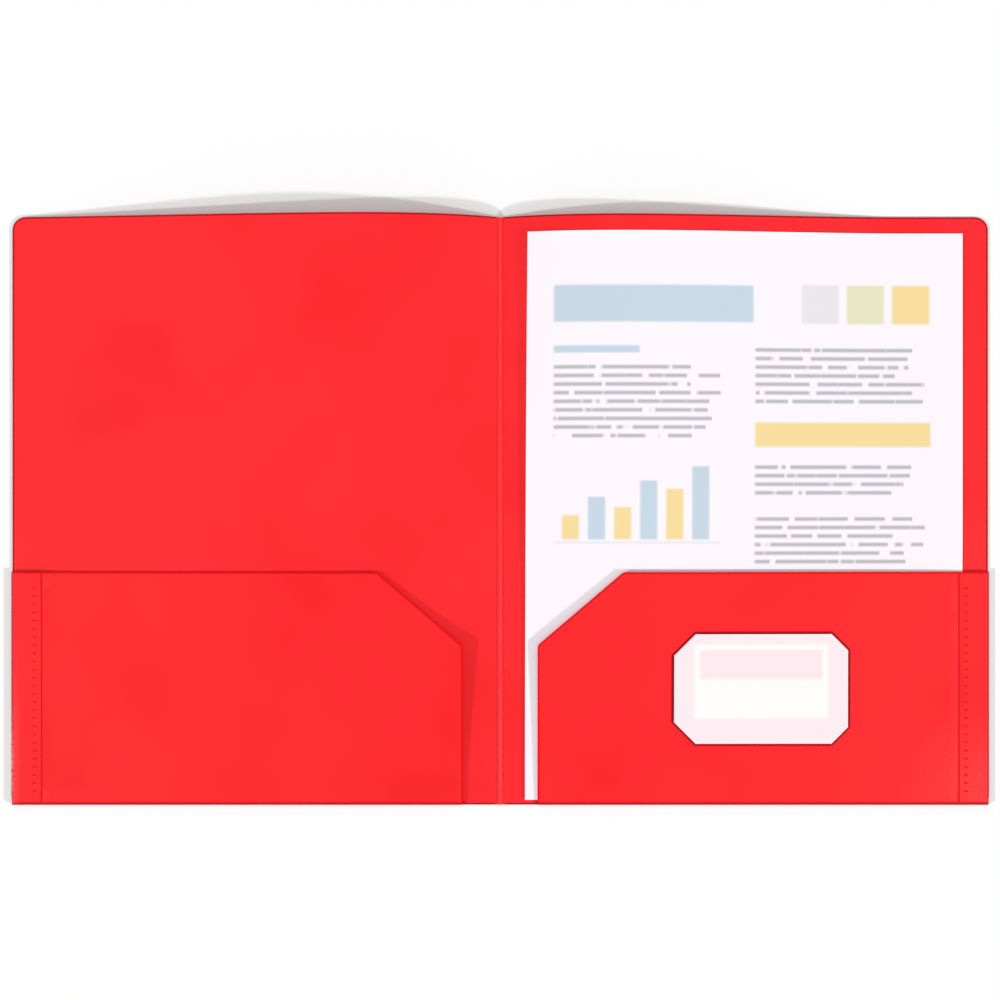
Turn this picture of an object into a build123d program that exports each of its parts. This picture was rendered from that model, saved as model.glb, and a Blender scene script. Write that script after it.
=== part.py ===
from build123d import *
import os

# A two pocket folder lying open and flat, seen from inside: spine along Y at X = 0,
# back cover towards +X, front cover towards -X, outer faces on Z = 0. Millimetres.
# The covers, tabs and pockets are cut and creased from one polypropylene sheet.

# The sheet that everything but the contents is cut from
sheet = 0.5

# Document: one letter sheet standing in the back pocket
paper_width = 215.9
paper_height = 279.4
paper_thickness = 0.1
paper_clearance = 0.06
paper_spine_gap = 12.2
paper_side_clearance = 0.2
paper_foot_gap = 2.5
paper_head_gap = 8.1

# Covers, from the middle of the spine to the outer edge, sized to take the document
tab_width = 13.0
cover_reach = paper_spine_gap + paper_width + paper_side_clearance + tab_width
cover_height = paper_foot_gap + paper_height + paper_head_gap
top_corner_radius = 6.5
fold_relief = 0.5

# Pockets, folded up from the foot of each cover
pocket_height = 115.0
pocket_spine_gap = 18.4
pocket_corner_width = 42.0
pocket_corner_height = 36.0
pocket_edge_inset = 0.6

# Side tabs, folded in from the outer edges
tab_foot_gap = 3.0
tab_taper = 4.0

# Weld spots that hold each pocket to its tab
weld_edge_distance = 11.9
weld_length = 1.8
weld_width = 0.9
weld_pitch = 4.0
weld_head_margin = 8.0
weld_foot_margin = 5.0
weld_dimple = 0.12

# Label card, its corners tucked behind four slanted slits in the back pocket
card_length = 85.6
card_height = 54.0
card_thickness = 0.18
card_shift = 1.25
slit_leg = 9.5
slit_clearance = 0.1
slit_spare = 1.2

# Spine strip between two creases, wide enough for the closed folder's layers
closed_sheet_layers = 5
closing_clearance = 0.52
crease_clearance = 0.05
spine_width = closed_sheet_layers * sheet + card_thickness + closing_clearance

# How far a cutting shape runs past what it cuts
overrun = 1.0

# Heights and lines that several pieces share
cover_top = sheet
pocket_under = cover_top + sheet
pocket_top = pocket_under + sheet
crease_radius = sheet / 2
crease_line = spine_width / 2
head = cover_height / 2
foot = -head
fold_outer_radius = pocket_top / 2
fold_inner_radius = fold_outer_radius - sheet
fold_line = foot + fold_outer_radius
side_line = cover_reach - sheet
tab_inner = cover_reach - tab_width
pocket_outer = cover_reach - pocket_edge_inset
pocket_head = foot + pocket_height


def plate(outline, floor, thickness):
    """A flat piece cut to an outline and lying at a height."""
    face = make_face(Polyline(outline, close=True))
    return Pos(0, 0, floor) * extrude(face, amount=thickness)


def half_round(face, radius):
    """The half of a round section on the side away from the sheets that it joins."""
    return face & Rectangle(2 * radius, 2 * radius, align=(Align.MAX, Align.CENTER))


def cover():
    """One cover panel, with a rounded top corner and a relief where the pocket's fold ends."""
    spine_edge = crease_line + crease_radius + crease_clearance
    relief_edge = pocket_spine_gap - fold_relief
    panel = plate(
        [
            (spine_edge, foot),
            (relief_edge, foot),
            (relief_edge, fold_line),
            (side_line, fold_line),
            (side_line, head),
            (spine_edge, head),
        ],
        0,
        sheet,
    )
    corner = panel.edges().filter_by(Axis.Z).sort_by_distance((side_line, head, 0))[0]
    return fillet(corner, top_corner_radius)


def bottom_fold():
    """The rolled fold that turns the foot of the cover up into the pocket."""
    section = half_round(Circle(fold_outer_radius) - Circle(fold_inner_radius), fold_outer_radius)
    at_foot = Plane((pocket_spine_gap, fold_line, fold_outer_radius), x_dir=(0, 1, 0), z_dir=(1, 0, 0))
    return extrude(at_foot * section, amount=pocket_outer - pocket_spine_gap)


def side_fold():
    """The flat-pressed fold that turns the outer edge of the cover into the side tab."""
    section = half_round(Circle(sheet), sheet)
    tab_foot = fold_line + tab_foot_gap
    at_side = Plane((side_line, tab_foot, cover_top), x_dir=(-1, 0, 0), z_dir=(0, 1, 0))
    return extrude(at_side * section, amount=pocket_head - tab_foot)


def weld_dashes(top):
    """The short dashes of one seam, from the middle of the tab's thickness up to a height."""
    first = pocket_head - weld_head_margin
    count = int((first - foot - weld_foot_margin) / weld_pitch) + 1
    floor = cover_top + sheet / 2
    dash = extrude(SlotOverall(weld_length, weld_width), amount=top - floor)
    weld_line = cover_reach - weld_edge_distance
    return [Pos(weld_line, first - i * weld_pitch, floor) * dash for i in range(count)]


def weld_spots():
    """The fused spots that hold the pocket to its tab, each with a dimple on top."""
    return Compound(weld_dashes(pocket_top - weld_dimple))


def weld_holes():
    """The room that the spots take in the tab and the pocket."""
    return weld_dashes(pocket_top + overrun)


def side_tab():
    """The tab under the pocket's outer edge, tapered at both ends."""
    tab_foot = fold_line + tab_foot_gap
    tab = plate(
        [
            (side_line, tab_foot),
            (tab_inner, tab_foot + tab_taper),
            (tab_inner, pocket_head - tab_taper),
            (side_line, pocket_head),
        ],
        cover_top,
        sheet,
    )
    return tab - weld_holes()


def pocket():
    """One pocket panel, its inner top corner cut away on a slant."""
    panel = plate(
        [
            (pocket_spine_gap, fold_line),
            (pocket_outer, fold_line),
            (pocket_outer, pocket_head),
            (pocket_spine_gap + pocket_corner_width, pocket_head),
            (pocket_spine_gap, pocket_head - pocket_corner_height),
        ],
        pocket_under,
        sheet,
    )
    return panel - weld_holes()


# The card lies in the middle of the pocket, a little nearer to the spine than its slits
slit_middle = Vector((pocket_spine_gap + pocket_outer) / 2, (foot + pocket_head) / 2)
card_middle = slit_middle - Vector(card_shift, 0)
slit_length = 2**0.5 * (slit_leg + 2 * card_shift) + 2 * slit_spare


def beside_slits(width, inward):
    """A strip along each of the four slits, with its inner side this far inside the slit's middle."""
    strips = []
    for x_side in (-1, 1):
        for y_side in (-1, 1):
            outward = Vector(x_side, y_side).normalized()
            corner = Vector(x_side * card_length / 2, y_side * card_height / 2)
            middle = slit_middle + corner - outward * (slit_leg / 2**0.5)
            centre = middle + outward * (width / 2 - inward)
            turn = x_side * y_side * 45
            strips.append(Pos(centre.X, centre.Y) * Rot(0, 0, turn) * Rectangle(width, slit_length))
    return strips


def slits():
    """The four slits through the back pocket."""
    width = card_thickness + 2 * slit_clearance
    depth = sheet + 2 * overrun
    return [
        Pos(0, 0, pocket_under - overrun) * extrude(strip, amount=depth)
        for strip in beside_slits(width, width / 2)
    ]


def label_card():
    """The card: a front with its corners bent down through the slits and tucked under the pocket."""
    half = card_thickness / 2
    card = Pos(card_middle.X, card_middle.Y) * Rectangle(card_length, card_height)
    front = card - beside_slits(slit_length, -half)
    piece = Pos(0, 0, pocket_top) * extrude(front, amount=card_thickness)
    tuck_floor = pocket_under - card_thickness
    for corner in beside_slits(slit_length, half):
        piece += Pos(0, 0, tuck_floor) * extrude(card & corner, amount=card_thickness)
    for bend in beside_slits(card_thickness, half):
        piece += Pos(0, 0, tuck_floor) * extrude(card & bend, amount=pocket_top + card_thickness - tuck_floor)
    return piece


def document_sheet():
    """The letter sheet between the back cover and its pocket."""
    right = tab_inner - paper_side_clearance
    left = right - paper_width
    bottom = foot + paper_foot_gap
    top = bottom + paper_height
    outline = [(left, bottom), (right, bottom), (right, top), (left, top)]
    return plate(outline, cover_top + paper_clearance, paper_thickness)


def spine_strip():
    """The narrow strip between the two creases, which becomes the closed folder's spine."""
    edge = crease_line - crease_radius
    return plate([(-edge, foot), (edge, foot), (edge, head), (-edge, head)], 0, sheet)


def crease(line):
    """One crease: the bead of sheet along the line that a cover turns on."""
    along = Plane((line, foot, crease_radius), x_dir=(1, 0, 0), z_dir=(0, 1, 0))
    return extrude(along * Circle(crease_radius), amount=cover_height)


back_pieces = {
    "cover": cover(),
    "bottom_fold": bottom_fold(),
    "side_fold": side_fold(),
    "side_tab": side_tab(),
    "pocket": pocket(),
    "weld_spots": weld_spots(),
}
pieces = {f"front_{name}": piece.mirror(Plane.YZ) for name, piece in back_pieces.items()}
pieces |= {f"back_{name}": piece for name, piece in back_pieces.items()}
pieces["back_pocket"] = pocket() - slits()
pieces["label_card"] = label_card()
pieces["document_sheet"] = document_sheet()
pieces["spine_strip"] = spine_strip()
pieces["front_crease"] = crease(-crease_line)
pieces["back_crease"] = crease(crease_line)

os.makedirs("parts", exist_ok=True)
for name, piece in pieces.items():
    export_step(piece, f"parts/{name}.step")
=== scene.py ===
import math

import bpy
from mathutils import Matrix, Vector


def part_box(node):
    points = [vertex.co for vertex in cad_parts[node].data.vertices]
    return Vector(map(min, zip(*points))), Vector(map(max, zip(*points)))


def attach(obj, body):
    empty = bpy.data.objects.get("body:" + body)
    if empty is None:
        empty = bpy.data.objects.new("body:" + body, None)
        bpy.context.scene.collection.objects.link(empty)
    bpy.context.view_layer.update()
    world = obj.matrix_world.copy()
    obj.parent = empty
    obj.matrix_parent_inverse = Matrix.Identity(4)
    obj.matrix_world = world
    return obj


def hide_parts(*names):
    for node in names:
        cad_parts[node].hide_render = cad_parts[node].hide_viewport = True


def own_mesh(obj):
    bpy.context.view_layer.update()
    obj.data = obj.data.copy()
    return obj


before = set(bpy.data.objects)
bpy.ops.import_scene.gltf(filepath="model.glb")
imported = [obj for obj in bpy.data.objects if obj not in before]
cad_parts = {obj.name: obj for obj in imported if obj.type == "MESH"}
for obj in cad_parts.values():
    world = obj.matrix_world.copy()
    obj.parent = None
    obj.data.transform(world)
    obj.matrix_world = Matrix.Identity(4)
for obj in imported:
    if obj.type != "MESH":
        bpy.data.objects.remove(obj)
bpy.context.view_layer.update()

# Covers
# The front and back covers are panels of one half-millimetre polypropylene sheet, die cut with a rounded
# top corner. Lying open they spring up in a low bow between spine and outer edge, most of all at the head.
sides = {"front": -1, "back": 1}
panel_low, panel_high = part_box("back_cover")
pocket_low, pocket_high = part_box("back_pocket")
sheet = panel_high.z - panel_low.z
foot, head = panel_low.y, panel_high.y
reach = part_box("back_side_fold")[1].x
fold_line = pocket_low.y
relief_clearance = 0.00004
relief_edge = pocket_low.x - relief_clearance
top_corner_radius = 0.0065
corner_steps = 7
margin_width = 0.0009
panel_columns, panel_rows = 48, 40

# How the cut edges are eased, and up to what angle the sheets are shaded smooth
cut_edge_radius = 0.00008
cut_edge_angle = math.radians(50)
cut_edge_segments = 2
smooth_angle = math.radians(20)

# Bow of each cover: the height that it would spring to at the head, the distance that it rises over, the
# share of the cover's reach at which it is back on the table, and the power by which it falls to there
bows = {
    "front": {"crest": 0.0180, "rise": 0.048, "end_share": 1.0, "fall": 1.15},
    "back": {"crest": 0.0240, "rise": 0.084, "end_share": 0.8, "fall": 1.5},
}
bow_growth = 1.3


def bow(name, x, y):
    """How far the relaxed cover stands off the table at a place."""
    shape = bows[name]
    away = abs(x)
    fall = max(1 - away / (shape["end_share"] * reach), 0.0) ** shape["fall"]
    rise = 1 - math.exp(-away / shape["rise"])
    up = max((y - foot) / (head - foot), 0.0)
    return shape["crest"] * rise * fall * up**bow_growth


def flat_sheet(name, low, high, *materials):
    """A flat rectangle between two corners, lying on the table."""
    bpy.ops.object.select_all(action="DESELECT")
    bpy.ops.mesh.primitive_plane_add(size=1)
    piece = bpy.context.object
    piece.name = name
    piece.data.name = name
    piece.location = ((low[0] + high[0]) / 2, (low[1] + high[1]) / 2, 0)
    piece.scale = (abs(high[0] - low[0]), high[1] - low[1], 1)
    bpy.ops.object.transform_apply(location=True, rotation=True, scale=True)
    for material in materials:
        piece.data.materials.append(material)
    return piece


def score(point, across, cut_away=False):
    """Cuts the whole sheet along a line, and drops what lies on the far side if asked."""
    bpy.ops.object.mode_set(mode="EDIT")
    bpy.ops.mesh.select_all(action="SELECT")
    bpy.ops.mesh.bisect(plane_co=(*point, 0), plane_no=(*across, 0), clear_outer=cut_away)
    bpy.ops.object.mode_set(mode="OBJECT")


def divide(low, high, columns, rows):
    """Scores a sheet in a grid, finely enough to take a bow."""
    for i in range(1, columns):
        score((low[0] + (high[0] - low[0]) * i / columns, 0), (1, 0))
    for i in range(1, rows):
        score((0, low[1] + (high[1] - low[1]) * i / rows), (0, 1))


def round_corner(corner, first, second, radius):
    """Rounds the corner between two edges, given by their outward directions."""
    first, second = Vector(first).normalized(), Vector(second).normalized()
    centre = Vector(corner) - (first + second) * radius / (1 + first.dot(second))
    for step in range(corner_steps):
        outward = first.slerp(second, (step + 0.5) / corner_steps)
        score(centre + outward * radius, outward, cut_away=True)


# Places of a sheet's materials: the plain sheet, and its margins and seam, painted darker as the shade
# along its edges and in the seam's groove
plain, shaded = 0, 1


def mark_edge_shade_margin(piece, wanted):
    """Marks off a narrow margin along the edges of a sheet, which is painted darker as the shade along its
    edges.
    """
    bpy.ops.object.mode_set(mode="EDIT")
    bpy.ops.mesh.select_mode(type="FACE")
    bpy.ops.mesh.select_all(action="SELECT")
    bpy.ops.mesh.dissolve_faces()
    bpy.ops.mesh.inset(thickness=margin_width)
    bpy.ops.object.mode_set(mode="OBJECT")
    for face in piece.data.polygons:
        face.material_index = plain if face.select or not wanted(face.center) else shaded


def pick(piece, kind, wanted):
    """Selects the faces or edges of a piece whose middles are wanted, in edit mode."""
    bpy.ops.object.mode_set(mode="EDIT")
    bpy.ops.mesh.select_mode(type=kind)
    bpy.ops.mesh.select_all(action="DESELECT")
    bpy.ops.object.mode_set(mode="OBJECT")
    points = piece.data.vertices
    for part in piece.data.polygons if kind == "FACE" else piece.data.edges:
        middle = sum((points[i].co for i in part.vertices), Vector()) / len(part.vertices)
        part.select = wanted(middle)
    bpy.ops.object.mode_set(mode="EDIT")


def extend(piece, wanted, way):
    """Extends a sheet from the edges that are wanted."""
    pick(piece, "EDGE", wanted)
    bpy.ops.mesh.extrude_region_move(TRANSFORM_OT_translate={"value": way})
    bpy.ops.object.mode_set(mode="OBJECT")


def lay(piece, height):
    """Lays a flat sheet over a surface given by its height at each place."""
    for point in piece.data.vertices:
        point.co.z += height(point.co.x, point.co.y)


def finish_modifier(piece, kind, **settings):
    """Adds a modifier to a piece and applies it."""
    modifier = piece.modifiers.new(kind.lower(), kind)
    for setting, value in settings.items():
        setattr(modifier, setting, value)
    bpy.ops.object.modifier_apply(modifier=modifier.name)


def thicken(piece, thickness, edge_radius):
    """Gives a sheet its thickness, upwards, and eases its cut edges."""
    easing = {"width": edge_radius, "segments": cut_edge_segments}
    finish_modifier(piece, "SOLIDIFY", thickness=thickness, offset=1.0)
    finish_modifier(piece, "BEVEL", **easing, limit_method="ANGLE", angle_limit=cut_edge_angle)
    bpy.ops.object.shade_smooth_by_angle(angle=smooth_angle)


def settle(piece, body, slot, level, *nodes):
    """Fixes a piece to its body in place of its solids."""
    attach(piece, body)
    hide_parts(*nodes)
    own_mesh(piece)


def fill(tree, made, inputs):
    """Links or sets the inputs of a shader node."""
    for socket, value in inputs.items():
        if isinstance(value, bpy.types.NodeSocket):
            tree.links.new(value, made.inputs[socket])
        else:
            made.inputs[socket].default_value = value


def node(tree, kind, inputs, **settings):
    """Adds a shader node, sets it up and fills its inputs."""
    made = tree.nodes.new(kind)
    for setting, value in settings.items():
        setattr(made, setting, value)
    fill(tree, made, inputs)
    return made


def surface(name):
    """A new material, its node tree, its shader and its object coordinates."""
    material = bpy.data.materials.new(name)
    material.use_nodes = True
    tree = material.node_tree
    shader = tree.nodes["Principled BSDF"]
    place = node(tree, "ShaderNodeTexCoord", {}).outputs["Object"]
    return material, tree, shader, place


def calc(tree, operation, first, second=0.0):
    """The result of one sum on the values of a material."""
    return node(tree, "ShaderNodeMath", {0: first, 1: second}, operation=operation).outputs[0]


def place_calc(tree, operation, first, second):
    """The result of one sum on the places of a material."""
    return node(tree, "ShaderNodeVectorMath", {0: first, 1: second}, operation=operation).outputs[0]


def ramp(tree, value, start, end):
    """Eases from 0 to 1 as a value goes from start to end."""
    inputs = {"Value": value, "From Min": start, "From Max": end}
    return node(tree, "ShaderNodeMapRange", inputs, interpolation_type="SMOOTHSTEP").outputs["Result"]


def noise(tree, place, scale, detail):
    """Soft random patches, so many to the metre."""
    inputs = {"Vector": place, "Scale": scale, "Detail": detail}
    return node(tree, "ShaderNodeTexNoise", inputs).outputs["Fac"]


def paint(tree, under, over, share):
    """One colour over another, by a share that may vary over the surface."""
    # A Mix node's colours are its inputs 6 and 7 and its output 2
    return node(tree, "ShaderNodeMix", {0: share, 6: under, 7: over}, data_type="RGBA").outputs[2]


def fine_relief(tree, height, strength, depth):
    """The slope of a grain that is too fine to model."""
    inputs = {"Height": height, "Strength": strength, "Distance": depth}
    return node(tree, "ShaderNodeBump", inputs).outputs["Normal"]


panel_tones = (0.95, 0.0060, 0.0110, 1.0), (1.0, 0.0125, 0.0190, 1.0)
# Painted shade along the covers' cut edges
edge_shade_tone = (0.42, 0.0055, 0.0110, 1.0)
patch_detail, grain_detail, fleck_detail = 2.0, 3.0, 4.0
cloud_scale, cloud_limits = 14.0, (0.25, 0.60)
grain_scale, grain_strength, grain_depth = 1900.0, 0.18, 0.00004
satin_roughness = {"To Min": 0.50, "To Max": 0.66}
satin_gloss = 0.3
blotch_scale, blotch_limits, blotch_share = 900.0, (0.3, 0.7), 0.2
shaded_roughness, shaded_gloss = 0.62, 0.1


def pale_in_flecks(tree, place, colour, paling):
    """Turns a colour pale around a place, most at its middle and in flecks, if a pale patch is given."""
    if not paling:
        return colour
    from_middle = place_calc(tree, "SUBTRACT", place, paling["middle"])
    in_reach = place_calc(tree, "DIVIDE", from_middle, paling["reach"])
    away = node(tree, "ShaderNodeVectorMath", {0: in_reach}, operation="LENGTH").outputs["Value"]
    near = calc(tree, "SUBTRACT", 1.0, ramp(tree, away, 0.0, 1.0))
    flecks = ramp(tree, noise(tree, place, paling["scale"], fleck_detail), *paling["flecks"])
    return paint(tree, colour, paling["tone"], calc(tree, "MULTIPLY", near, flecks))


def red_polypropylene(name, tones, paling=None):
    """Satin red sheet with a soft mottling and a fine sand grain, that may be paled at one place by wear
    and painted sheen.
    """
    material, tree, shader, place = surface(name)
    clouds = ramp(tree, noise(tree, place, cloud_scale, patch_detail), *cloud_limits)
    grain = noise(tree, place, grain_scale, grain_detail)
    roughness = node(tree, "ShaderNodeMapRange", {"Value": grain, **satin_roughness})
    finish = {
        "Base Color": pale_in_flecks(tree, place, paint(tree, *tones, clouds), paling),
        "Roughness": roughness.outputs["Result"],
        "Normal": fine_relief(tree, grain, grain_strength, grain_depth),
        "Specular IOR Level": satin_gloss,
    }
    fill(tree, shader, finish)
    return material


def shaded_polypropylene(name, tone, paling=None):
    """The same sheet in a darker tone, blotchy and without grain: painted shade along edges, folds, seams
    and around the card, and the welds' fused plastic darkened partly as painted shade in their dents.
    """
    material, tree, shader, place = surface(name)
    blotches = ramp(tree, noise(tree, place, blotch_scale, patch_detail), *blotch_limits)
    colour = paint(tree, tone, panel_tones[0], calc(tree, "MULTIPLY", blotches, blotch_share))
    finish = {
        "Base Color": pale_in_flecks(tree, place, colour, paling),
        "Roughness": shaded_roughness,
        "Specular IOR Level": shaded_gloss,
    }
    fill(tree, shader, finish)
    return material


def beside_fold(at):
    """Whether a place lies at the cover's foot, between the spine and the pocket's fold."""
    return at.y < fold_line + cut_edge_radius and abs(at.x) < relief_edge


panel_red = red_polypropylene("red_polypropylene_panel", panel_tones)
edge_shade_red = shaded_polypropylene("red_polypropylene_painted_edge_shade", edge_shade_tone)

for name, side in sides.items():
    spine_corner = (side * panel_low.x, fold_line)
    head_corner = (side * panel_high.x, head)
    panel = flat_sheet(f"{name}_cover_panel", spine_corner, head_corner, panel_red, edge_shade_red)
    round_corner(head_corner, (side, 0), (0, 1), top_corner_radius)
    score((side * relief_edge, 0), (1, 0))
    extend(panel, beside_fold, (0, foot - fold_line, 0))
    # The covers' margins are painted darker, as the shade along their cut edges
    mark_edge_shade_margin(panel, lambda at: abs(at.x) > panel_low.x + margin_width)
    divide(spine_corner, head_corner, panel_columns, panel_rows)
    lay(panel, lambda x, y: bow(name, x, y))
    thicken(panel, sheet, cut_edge_radius)
    settle(panel, f"{name}_cover", "red_polypropylene", 0, f"{name}_cover")

# Spine
# The strip between the covers is the same sheet, pressed into a low ridge, with a thinned crease on each
# side that the covers turn on. Pressing stretches the ridge, and stretched polypropylene turns paler; the
# paler ridge also paints the highlight along its crest.
strip_low, strip_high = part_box("spine_strip")
crease_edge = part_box("back_crease")[1].x
ridge_half_width = 0.0005
ridge_height = 0.00022
crease_depth = 0.00010
strip_columns, strip_rows = 28, 30
sheet_tones = (0.95, 0.0040, 0.0085, 1.0), (1.0, 0.0090, 0.0135, 1.0)
ridge_stretch_and_highlight_tone = (1.0, 0.0480, 0.0510, 1.0)
ridge_fade_shares = 0.6, 1.1
streak_scale, streak_limits = 90.0, (0.2, 0.55)
spine_roughness = 0.58


def spine_height(x, y):
    """Height of the pressed strip's outer face across its width, as the covers' bow lifts its edges."""
    across = abs(x)
    lifted = bow("front" if x < 0 else "back", x, y)
    if across < ridge_half_width:
        return lifted + crease_depth + ridge_height * math.cos(across / ridge_half_width * math.pi / 2)
    in_crease = (across - ridge_half_width) / (crease_edge - ridge_half_width)
    return lifted + crease_depth * (1 - math.sin(in_crease * math.pi))


def stretched_and_highlighted_polypropylene(name):
    """Red sheet that is paler along the stretched ridge, in uneven streaks, for the stretched plastic and
    as a painted highlight.
    """
    material, tree, shader, place = surface(name)
    across = calc(tree, "ABSOLUTE", node(tree, "ShaderNodeSeparateXYZ", {0: place}).outputs["X"])
    fade = [ridge_half_width * share for share in ridge_fade_shares]
    on_ridge = calc(tree, "SUBTRACT", 1.0, ramp(tree, across, *fade))
    streaks = ramp(tree, noise(tree, place, streak_scale, fleck_detail), *streak_limits)
    grain = noise(tree, place, grain_scale, grain_detail)
    finish = {
        "Base Color": paint(tree, sheet_tones[1], ridge_stretch_and_highlight_tone, calc(tree, "MULTIPLY", on_ridge, streaks)),
        "Roughness": spine_roughness,
        "Normal": fine_relief(tree, grain, grain_strength, grain_depth),
        "Specular IOR Level": satin_gloss,
    }
    fill(tree, shader, finish)
    return material


spine_red = stretched_and_highlighted_polypropylene("stretched_red_polypropylene_painted_highlight")
spine_corners = (-crease_edge, strip_low.y), (crease_edge, strip_high.y)
spine = flat_sheet("pressed_spine", *spine_corners, spine_red)
divide(*spine_corners, strip_columns, strip_rows)
lay(spine, spine_height)
thicken(spine, sheet, cut_edge_radius)
settle(spine, "spine", "red_polypropylene", 0, "spine_strip", "front_crease", "back_crease")

# Folds and tabs
# At the foot and the outer edges the sheet is folded over hot, into a rolled fold and a flat-pressed one,
# and the tabs lie flat under the pockets. The folds are painted dark, as the shade along them. The front
# cover's outer fold is worn in pale flecks at its foot.
fold_shade_tone = (0.34, 0.0040, 0.0085, 1.0)
worn_height = 0.020
through_sheet = 1.0

# Wear of a place: its colour, its middle, how far it reaches across, up and through the sheet, how fine
# its flecks are, and the limits of the noise that they fade in between
fold_wear = {
    "tone": (0.95, 0.20, 0.21, 1.0),
    "middle": (-reach, foot + worn_height, sheet),
    "reach": (0.004, 0.036, through_sheet),
    "scale": 520.0,
    "flecks": (0.44, 0.66),
}

fold_shade_red = shaded_polypropylene("red_polypropylene_painted_fold_shade", fold_shade_tone)
folds = {f"{name}_{part}": fold_shade_red for name in sides for part in ("bottom_fold", "side_fold")}
folds |= {f"{name}_side_tab": panel_red for name in sides}
folds["front_side_fold"] = shaded_polypropylene("worn_red_polypropylene_painted_fold_shade", fold_shade_tone, fold_wear)
for part, material in folds.items():
    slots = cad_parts[part].data.materials
    slots.clear()
    slots.append(material)

# Pockets
# Each pocket is the foot of the sheet folded up, its inner top corner cut away on a slant and its outer
# edge welded to the tab. The welded seam leaves a pressed line, and the free inner corner curls up.
corner_width, corner_height = 0.042, 0.036
slant_corner_radius = 0.003
pocket_columns, pocket_rows = 44, 12
seam_edge_distance = 0.0154
seam_line = reach - seam_edge_distance
seam_width = 0.0011
seam_end_share = 0.03
sink_reach, sink_share = 0.006, 0.15
swell_fullness = 0.5

# Set of each pocket: the curl of its free corner, how far the curl reaches, the swell of a mouth that
# holds paper, how far an empty pocket sinks onto the cover beside its tab, and the depth of its seam
lifts = {
    "front": {"curl": 0.0022, "curl_reach": 0.018, "swell": 0.0, "sink": 0.0004, "seam": 0.00025},
    "back": {"curl": 0.0010, "curl_reach": 0.022, "swell": 0.0005, "sink": 0.0, "seam": 0.00010},
}
curl_corner_share = 1 - corner_height / (pocket_high.y - pocket_low.y)


def ease(share):
    """Goes smoothly from 0 to 1."""
    share = min(max(share, 0.0), 1.0)
    return share * share * (3 - 2 * share)


def pocket_under(name, x, y):
    """Height of the underside of a pocket at a place."""
    lift = lifts[name]
    up = max((y - pocket_low.y) / (pocket_high.y - pocket_low.y), 0.0)
    across = abs(x)
    curl = lift["curl"] * up / curl_corner_share * math.exp((pocket_low.x - across) / lift["curl_reach"])
    along_mouth = min(max((seam_line - across) / (seam_line - pocket_low.x), 0.0), 1.0)
    swell = lift["swell"] * up * math.sin(along_mouth * math.pi) ** swell_fullness
    in_seam = max(1 - abs(across - seam_line) / (seam_width / 2), 0.0)
    seam = lift["seam"] * in_seam * ease(up / seam_end_share) * ease((1 - up) / seam_end_share)
    sink = lift["sink"] * ease((seam_line - across) / sink_reach) * ease(up / sink_share)
    return pocket_low.z + bow(name, x, y) + curl + swell - seam - sink


def cut_out(piece, wanted):
    """Cuts the faces that are wanted out of a sheet."""
    pick(piece, "FACE", wanted)
    bpy.ops.mesh.delete(type="FACE")
    bpy.ops.object.mode_set(mode="OBJECT")


def cut_slit(piece, middle, outward, length, width):
    """Cuts a straight slit through a sheet, square to a direction."""
    along = Vector((-outward.y, outward.x))

    def in_slit(at):
        """Whether a place lies in the slit."""
        away = at.xy - middle
        return abs(away.dot(outward)) < width / 2 and abs(away.dot(along)) < length / 2

    for direction, half in ((outward, width / 2), (along, length / 2)):
        for edge in (middle + direction * half, middle - direction * half):
            pick(piece, "FACE", lambda at: (at.xy - middle).length < length)
            bpy.ops.mesh.bisect(plane_co=(*edge, 0), plane_no=(*direction, 0))
            bpy.ops.object.mode_set(mode="OBJECT")
    cut_out(piece, in_slit)


# The row of holes that the weld spots fill
weld_low, weld_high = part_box("back_weld_spots")
weld_length = weld_high.x - weld_low.x
weld_width = 0.0009
weld_pitch = 0.004
weld_count = round((weld_high.y - weld_low.y - weld_width) / weld_pitch) + 1
weld_line = (weld_low.x + weld_high.x) / 2
weld_head = weld_high.y - weld_width / 2


def in_weld_row(at):
    """Whether a place lies in one of the weld spots of a row."""
    step = (weld_head - at.y) / weld_pitch
    along = abs(step - round(step)) * weld_pitch
    in_row = weld_low.y < at.y < weld_high.y
    return in_row and along < weld_width / 2 and abs(abs(at.x) - weld_line) < weld_length / 2


# The four slits that take the label card's corners: the middle of each, its outward direction and its
# length. The card lies a little nearer to the spine than its slits, so they cut off more of it there.
card_low, card_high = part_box("label_card")
slit_leg, card_shift = 0.0095, 0.00125
slit_width = 0.00038
slits = []
for x, x_side in ((card_low.x, -1), (card_high.x, 1)):
    leg = slit_leg - x_side * card_shift
    for y, y_side in ((card_low.y, -1), (card_high.y, 1)):
        outward = Vector((x_side, y_side)).normalized()
        slits.append((Vector((x, y)) - outward * leg / math.sqrt(2), outward, leg * math.sqrt(2)))

# The line painted dark around the card as its shadow on the pocket: a point on each of its eight sides and
# the way out
card_shadow_width = 0.0013
card_sides = [(middle, outward) for middle, outward, _ in slits]
for corner, way in ((card_low, -1), (card_high, 1)):
    card_sides += [(corner.xy, Vector((way, 0))), (corner.xy, Vector((0, way)))]


def outside_card(at):
    """How far a place lies outside the card's outline."""
    return max((at.xy - point).dot(outward) for point, outward in card_sides)


# Two more places of a pocket's materials, both painted darker as shade: around the card, and along the
# outer edge
card_shadow_place, shaded_rim = 2, 3


def dye(piece, material_place, wanted):
    """Gives the faces of a piece that are wanted another of its materials."""
    for face in piece.data.polygons:
        if wanted(face.center):
            face.material_index = material_place


def press_seam(pocket, side):
    """Marks off the line that the welding tool has pressed along the outer edge, which is painted darker
    as the shade in its groove.
    """
    for offset in (-seam_width / 2, 0, seam_width / 2):
        score((side * (seam_line + offset), 0), (1, 0))
    dye(pocket, shaded, lambda at: abs(abs(at.x) - seam_line) < seam_width / 2)


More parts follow.
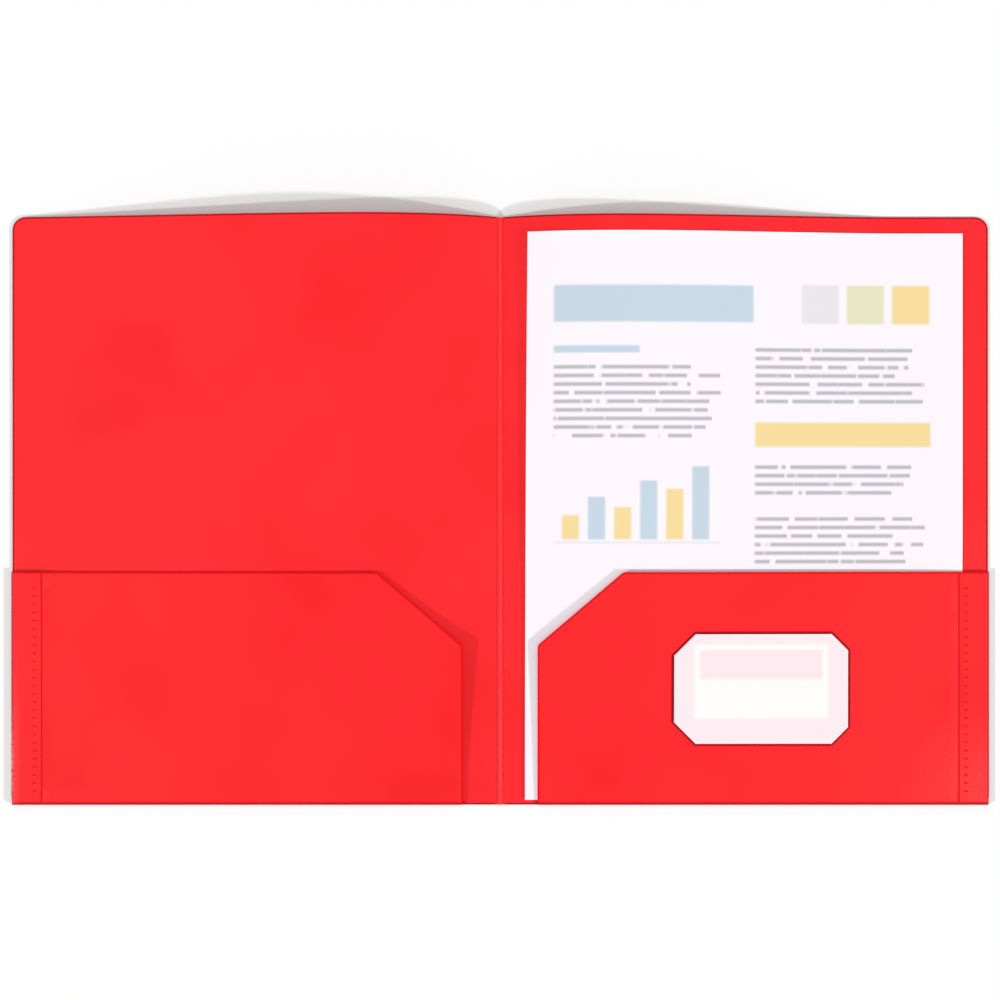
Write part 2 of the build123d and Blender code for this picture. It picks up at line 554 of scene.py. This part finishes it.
def cut_weld_holes(pocket, side):
    """Cuts out the row of places that the weld spots fill."""
    for i in range(weld_count):
        for offset in (-weld_width / 2, weld_width / 2):
            score((0, weld_head - i * weld_pitch + offset), (0, 1))
    for offset in (-weld_length / 2, weld_length / 2):
        score((side * (weld_line + offset), 0), (1, 0))
    cut_out(pocket, in_weld_row)


def fit_card(pocket):
    """Marks off a dark line around the card's outline as its painted shadow, and cuts the slits for its
    corners.
    """
    for point, outward in card_sides:
        for offset in (-card_shadow_width, card_shadow_width):
            score(point + outward * offset, outward)
    dye(pocket, card_shadow_place, lambda at: -card_shadow_width < outside_card(at) < card_shadow_width)
    for middle, outward, length in slits:
        cut_slit(pocket, middle, outward, length, slit_width)


# Darker tones painted as shade: in the seam's groove and along the pocket's cut edges, around the card as
# its shadow, and along the outer rim
seam_and_edge_shade_tone = (0.78, 0.0035, 0.0075, 1.0)
card_shadow_tone = (0.40, 0.0030, 0.0070, 1.0)
rim_shade_tone = (0.60, 0.0450, 0.0520, 1.0)

# Wear of the front pocket's outer rim, and pale patches, partly wear and partly painted sheen, along its
# edge beside the worn fold and at the back pocket's lower corner
rim_wear = dict(fold_wear, tone=(0.90, 0.22, 0.23, 1.0), flecks=(0.35, 0.60))
edge_wear_and_sheen = dict(
    fold_wear,
    tone=(1.0, 0.045, 0.051, 1.0),
    reach=(0.006, 0.080, through_sheet),
    flecks=(0.15, 0.50),
)
corner_wear_and_sheen = {
    "tone": (1.0, 0.0450, 0.0540, 1.0),
    "middle": (pocket_high.x, pocket_low.y, pocket_low.z),
    "reach": (0.050, 0.050, through_sheet),
    "scale": 1500.0,
    "flecks": (0.36, 0.62),
}
pocket_reds = {
    "front": red_polypropylene("front_pocket_polypropylene", sheet_tones, edge_wear_and_sheen),
    "back": red_polypropylene("back_pocket_polypropylene", sheet_tones, corner_wear_and_sheen),
}
seam_and_edge_shade_reds = {
    "front": shaded_polypropylene("front_seam_and_edge_painted_shade", seam_and_edge_shade_tone, edge_wear_and_sheen),
    "back": shaded_polypropylene("back_seam_and_edge_painted_shade", seam_and_edge_shade_tone),
}
rim_shade_reds = {
    "front": shaded_polypropylene("front_rim_wear_and_painted_shade", rim_shade_tone, rim_wear),
    "back": shaded_polypropylene("back_rim_painted_shade", rim_shade_tone),
}
card_shadow_red = shaded_polypropylene("painted_card_shadow_polypropylene", card_shadow_tone)

for name, side in sides.items():
    foot_corner = (side * pocket_low.x, pocket_low.y)
    mouth_corner = (side * pocket_high.x, pocket_high.y)
    reds = pocket_reds[name], seam_and_edge_shade_reds[name], card_shadow_red, rim_shade_reds[name]
    pocket = flat_sheet(f"{name}_pocket_panel", foot_corner, mouth_corner, *reds)
    slant = Vector((-side * corner_height, corner_width)).normalized()
    slant_top = Vector((side * (pocket_low.x + corner_width), pocket_high.y))
    slant_foot = Vector((side * pocket_low.x, pocket_high.y - corner_height))
    score(slant_top, slant, cut_away=True)
    round_corner(slant_top, (0, 1), slant, slant_corner_radius)
    round_corner(slant_foot, slant, (-side, 0), slant_corner_radius)
    mark_edge_shade_margin(pocket, lambda at: True)
    dye(pocket, shaded_rim, lambda at: abs(at.x) > pocket_high.x - margin_width)
    divide(foot_corner, mouth_corner, pocket_columns, pocket_rows)
    press_seam(pocket, side)
    cut_weld_holes(pocket, side)
    if name == "back":
        fit_card(pocket)
    lay(pocket, lambda x, y: pocket_under(name, x, y))
    thicken(pocket, sheet, cut_edge_radius)
    settle(pocket, f"{name}_cover", "red_polypropylene", pocket_low.z, f"{name}_pocket")

# Weld spots
# A row of short dashes where a heated tool has fused each pocket to its tab. The plastic sinks in the
# middle of a dash and leaves a low rim around it, and here and there a dash fades into the sheet.
weld_root, weld_sink = 0.0004, 0.00001
weld_rim_width, dish_depth = 0.00012, 0.00004
weld_rounding_share, weld_rounding_segments = 0.2, 3
weld_smooth_angle = math.radians(40)
# Darker tone of the dashes: the fused plastic, and painted shade in their shallow dents
weld_and_shade_tone = (0.80, 0.0040, 0.0080, 1.0)
weld_fading = {
    "tone": (0.97, 0.0065, 0.0105, 1.0),
    "middle": (0.0, 0.0, 0.0),
    "reach": (1.0, 1.0, 1.0),
    "scale": 190.0,
    "flecks": (0.38, 0.58),
}

weld_and_shade_red = shaded_polypropylene("welded_red_polypropylene_painted_shade", weld_and_shade_tone, weld_fading)
dash_corner = Vector((weld_length, weld_width)) / 2
dash = flat_sheet("weld_dash", -dash_corner, dash_corner, weld_and_shade_red)
bpy.ops.object.mode_set(mode="EDIT")
bpy.ops.mesh.select_all(action="SELECT")
bpy.ops.mesh.bevel(
    affect="VERTICES", offset=weld_width * weld_rounding_share, segments=weld_rounding_segments
)
bpy.ops.mesh.select_mode(type="FACE")
bpy.ops.mesh.select_all(action="SELECT")
bpy.ops.transform.translate(value=(0, 0, -weld_root))
bpy.ops.mesh.extrude_region_move(TRANSFORM_OT_translate={"value": (0, 0, weld_root - weld_sink)})
bpy.ops.mesh.inset(thickness=weld_rim_width)
bpy.ops.transform.translate(value=(0, 0, -dish_depth))
bpy.ops.object.mode_set(mode="OBJECT")

for name, side in sides.items():
    row = []
    for i in range(weld_count):
        spot = dash.copy()
        spot.data = dash.data.copy()
        bpy.context.collection.objects.link(spot)
        y = weld_head - i * weld_pitch
        spot.location = (side * weld_line, y, pocket_under(name, side * weld_line, y) + sheet)
        row.append(spot)
    bpy.ops.object.select_all(action="DESELECT")
    for spot in row:
        spot.select_set(True)
    bpy.context.view_layer.objects.active = row[0]
    bpy.ops.object.join()
    welds = bpy.context.object
    welds.name = f"{name}_weld_row"
    welds.data.name = welds.name
    bpy.ops.object.transform_apply(location=True, rotation=True, scale=True)
    bpy.ops.object.shade_smooth_by_angle(angle=weld_smooth_angle)
    settle(welds, f"{name}_cover", "red_polypropylene", pocket_low.z, f"{name}_weld_spots")
bpy.data.objects.remove(dash)

# Label card
# A thin card for noting the contents on, its four corners bent down through slits in the back pocket.
# It is printed with a pale pink ground, a white panel and a pink band across the top of the panel.
card_thickness = 0.00018
card_standoff = 0.00035
card_edge_radius = 0.00004
card_columns, card_rows = 26, 16
bend_depth = 0.0010


def tint(red, green, blue):
    """A colour as a scanner gives it, from 0 to 255, for a shader."""
    shares = [channel / 255 for channel in (red, green, blue)]
    return (*[s / 12.92 if s <= 0.04045 else ((s + 0.055) / 1.055) ** 2.4 for s in shares], 1.0)


card_pink = tint(252, 236, 241)
card_white = tint(253, 252, 251)
band_pink = tint(252, 233, 239)
card_fibre_scale, card_fibre_strength, card_fibre_depth = 2600.0, 0.12, 0.00003
card_roughness, card_gloss = 0.7, 0.2
print_softness = 0.0009

# The print, measured from the card's lower left corner: left, right, bottom and top
white_panel = (0.0100, 0.0758, 0.0125, 0.0490)
pink_band = (0.0125, 0.0730, 0.0318, 0.0462)


def from_corner(tree, place, corner):
    """How far across and up a place is from the lower left corner of a printed sheet."""
    inputs = {"Vector": place, "Location": (-corner.x, -corner.y, 0)}
    on_print = node(tree, "ShaderNodeMapping", inputs).outputs[0]
    spot = node(tree, "ShaderNodeSeparateXYZ", {0: on_print})
    return spot.outputs["X"], spot.outputs["Y"]


def between(tree, value, low, high, soft):
    """1 between two places and 0 outside, with soft edges."""
    started = ramp(tree, value, low - soft, low + soft)
    ended = ramp(tree, value, high - soft, high + soft)
    return calc(tree, "SUBTRACT", started, ended)


def block(tree, across, up, box):
    """1 inside a printed rectangle: left, right, bottom and top."""
    left, right, bottom, top = box
    in_width = between(tree, across, left, right, print_softness)
    in_height = between(tree, up, bottom, top, print_softness)
    return calc(tree, "MULTIPLY", in_width, in_height)


def printed_card(name):
    """Matt card with its print."""
    material, tree, shader, place = surface(name)
    across, up = from_corner(tree, place, card_low)
    colour = paint(tree, card_pink, card_white, block(tree, across, up, white_panel))
    colour = paint(tree, colour, band_pink, block(tree, across, up, pink_band))
    fibres = noise(tree, place, card_fibre_scale, fleck_detail)
    finish = {
        "Base Color": colour,
        "Roughness": card_roughness,
        "Normal": fine_relief(tree, fibres, card_fibre_strength, card_fibre_depth),
        "Specular IOR Level": card_gloss,
    }
    fill(tree, shader, finish)
    return material


def at_slit(at):
    """Whether a place lies on one of the lines that the card is bent down along."""
    return any(abs((at.xy - middle).dot(outward)) < cut_edge_radius for middle, outward, _ in slits)


card = flat_sheet("tucked_label_card", card_low, card_high, printed_card("printed_card"))
for middle, outward, _ in slits:
    score(middle, outward, cut_away=True)
divide(card_low, card_high, card_columns, card_rows)
lay(card, lambda x, y: pocket_under("back", x, y) + sheet + card_standoff)
extend(card, at_slit, (0, 0, -bend_depth))
thicken(card, card_thickness, card_edge_radius)
settle(card, "back_cover", "label_card", pocket_high.z, "label_card")

# Document
# One letter sheet of copy paper standing in the back pocket. It follows the cover's bow, held down by the
# pocket at its foot, and above the mouth it stands a little off the plastic, most at its spine edge.
paper_low, paper_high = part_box("document_sheet")
paper_thickness = paper_high.z - paper_low.z
paper_edge_share = 1 / 6
paper_columns, paper_rows = 46, 44
hover = 0.0003
hover_start_depth, hover_end_height = 0.015, 0.030
hover_start = pocket_high.y - hover_start_depth
hover_end = pocket_high.y + hover_end_height
edge_lift, edge_lift_reach = 0.0004, 0.010
drawn_in = 0.0012
paper_white = tint(253, 247, 253)
ink_grey = tint(192, 190, 196)
ink_blue = tint(200, 216, 230)
ink_yellow = tint(248, 222, 158)
ink_lime = tint(232, 229, 196)
ink_silver = tint(233, 231, 236)
paper_fibre_scale, paper_fibre_strength, paper_fibre_depth = 2200.0, 0.1, 0.00002
paper_roughness, paper_gloss = 0.85, 0.1

# Printed blocks, measured from the sheet's lower left corner: left, right, bottom and top
blocks = [
    (ink_blue, (0.0140, 0.1120, 0.2350, 0.2530)),
    (ink_silver, (0.1360, 0.1545, 0.2345, 0.2535)),
    (ink_lime, (0.1585, 0.1770, 0.2345, 0.2535)),
    (ink_yellow, (0.1810, 0.1995, 0.2345, 0.2535)),
    (ink_blue, (0.0140, 0.0560, 0.2200, 0.2235)),
    (ink_yellow, (0.1130, 0.2000, 0.1740, 0.1860)),
    (ink_silver, (0.0140, 0.0960, 0.1265, 0.1275)),
]

# Bar chart, measured from the same corner
chart_left, chart_foot, bar_width, bar_pitch = 0.0180, 0.1285, 0.0085, 0.0128
bar_heights = [0.012, 0.021, 0.016, 0.029, 0.025, 0.036]
bar_inks = ink_yellow, ink_blue

# Columns of text, as boxes of the same kind
columns_of_text = [
    (0.0140, 0.0960, 0.1770, 0.2150),
    (0.1130, 0.1990, 0.1940, 0.2235),
    (0.1130, 0.1940, 0.1490, 0.1660),
    (0.1130, 0.1990, 0.1150, 0.1405),
]

# Lines of text: their pitch, the shares of it that words stand between and soften over, the noise that
# breaks a line into words, and the share of a column that a line may end short by
text_pitch = 0.0042
line_shares, line_soft_share = (0.25, 0.68), 0.16
word_scale = (150.0, 7.3, 1.0)
word_detail, word_limits = 1.0, (0.34, 0.42)
ragged_share = 0.22
seed_step = 17.0


def paper_height(x, y):
    """Height of the sheet's underside at a place."""
    off_cover = ease((y - hover_start) / (hover_end - hover_start))
    spine_edge = math.exp((paper_low.x - x) / edge_lift_reach)
    return paper_low.z + bow("back", x, y) + off_cover * hover + edge_lift * spine_edge


def text_lines(tree, across, up, box, seed):
    """Rows of greeked words in a column, ragged on the right."""
    left, right, _, top = box
    row = calc(tree, "DIVIDE", calc(tree, "SUBTRACT", top, up), text_pitch)
    line = calc(tree, "ADD", calc(tree, "FLOOR", row), seed)
    in_line = between(tree, calc(tree, "FRACT", row), *line_shares, line_soft_share)
    chance = node(tree, "ShaderNodeTexWhiteNoise", {"W": line}, noise_dimensions="1D").outputs["Value"]
    indent = calc(tree, "MULTIPLY", chance, ragged_share * (right - left))
    before_end = calc(tree, "LESS_THAN", across, calc(tree, "SUBTRACT", right, indent))
    place = node(tree, "ShaderNodeCombineXYZ", {"X": across, "Y": line}).outputs[0]
    stretched = node(tree, "ShaderNodeMapping", {"Vector": place, "Scale": word_scale}).outputs[0]
    words = ramp(tree, noise(tree, stretched, 1.0, word_detail), *word_limits)
    ink = calc(tree, "MULTIPLY", calc(tree, "MULTIPLY", in_line, before_end), words)
    return calc(tree, "MULTIPLY", ink, block(tree, across, up, box))


def printed_paper(name):
    """White copy paper with a plain page of generic blocks, text and a bar chart."""
    material, tree, shader, place = surface(name)
    across, up = from_corner(tree, place, paper_low)
    colour = paper_white
    for ink, box in blocks:
        colour = paint(tree, colour, ink, block(tree, across, up, box))
    for i, height in enumerate(bar_heights):
        left = chart_left + i * bar_pitch
        bar = (left, left + bar_width, chart_foot, chart_foot + height)
        colour = paint(tree, colour, bar_inks[i % len(bar_inks)], block(tree, across, up, bar))
    for i, box in enumerate(columns_of_text):
        colour = paint(tree, colour, ink_grey, text_lines(tree, across, up, box, seed_step * (i + 1)))
    fibres = noise(tree, place, paper_fibre_scale, fleck_detail)
    finish = {
        "Base Color": colour,
        "Roughness": paper_roughness,
        "Normal": fine_relief(tree, fibres, paper_fibre_strength, paper_fibre_depth),
        "Specular IOR Level": paper_gloss,
    }
    fill(tree, shader, finish)
    return material


paper = flat_sheet("printed_document", paper_low, paper_high, printed_paper("printed_paper"))
divide(paper_low, paper_high, paper_columns, paper_rows)

# The bow takes up some of the sheet's width, most at the head
for point in paper.data.vertices:
    up = (point.co.y - paper_low.y) / (paper_high.y - paper_low.y)
    point.co.x += drawn_in * up**2 * (paper_high.x - point.co.x) / (paper_high.x - paper_low.x)
lay(paper, paper_height)
thicken(paper, paper_thickness, paper_thickness * paper_edge_share)
settle(paper, "document", "white_paper", paper_low.z, "document_sheet")

# Floor, lamps and camera
# A white table in a bright room, under two low lamps from the front left and front right, seen from
# straight above.
white = (1.0, 1.0, 1.0, 1.0)
table_size, table_drop = 12.0, 0.0001

bpy.ops.object.select_all(action="DESELECT")
bpy.ops.mesh.primitive_plane_add(size=table_size, location=(0, 0, -table_drop))
table = bpy.context.object
table.name = "table"
table_white = bpy.data.materials.new("white_table")
table_white.use_nodes = True
table_shader = table_white.node_tree.nodes["Principled BSDF"]
matt_white = {"Base Color": white, "Roughness": 1.0, "Specular IOR Level": 0.0}
fill(table_white.node_tree, table_shader, matt_white)
table.data.materials.append(table_white)

sky_level = 0.59
world = bpy.data.worlds.new("studio")
bpy.context.scene.world = world
world.use_nodes = True
room = world.node_tree
ray = node(room, "ShaderNodeLightPath", {})
seen = calc(room, "MAXIMUM", ray.outputs["Is Camera Ray"], ray.outputs["Is Glossy Ray"])
seen = calc(room, "MAXIMUM", seen, ray.outputs["Is Transmission Ray"])
level = node(room, "ShaderNodeMapRange", {"Value": seen, "To Min": sky_level, "To Max": 1.0})
fill(room, room.nodes["Background"], {"Color": white, "Strength": level.outputs["Result"]})

# Azimuth and elevation of each lamp in degrees, and the share of the table's light that it gives
lamps = {"left_lamp": (-67.5, 20.0), "right_lamp": (67.5, 16.8)}
lamp_share = 0.205
lamp_softness = math.radians(2.5)
for lamp_name, (azimuth, elevation) in lamps.items():
    bpy.ops.object.light_add(type="SUN")
    lamp = bpy.context.object
    lamp.name = lamp_name
    rise = math.radians(elevation)
    lamp.rotation_euler = (math.pi / 2 - rise, 0, math.radians(azimuth))
    lamp.data.energy = lamp_share * math.pi / math.sin(rise)
    lamp.data.angle = lamp_softness

camera_height = 0.50
view_width = 0.4942
view_middle = (-0.0001, 0.0054)
nearest_seen = 0.01
bpy.ops.object.camera_add(location=(*view_middle, camera_height))
camera = bpy.context.object
camera.data.lens = camera.data.sensor_width * camera_height / view_width
camera.data.clip_start = nearest_seen
bpy.context.scene.camera = camera
bpy.context.scene.view_settings.view_transform = "Standard"
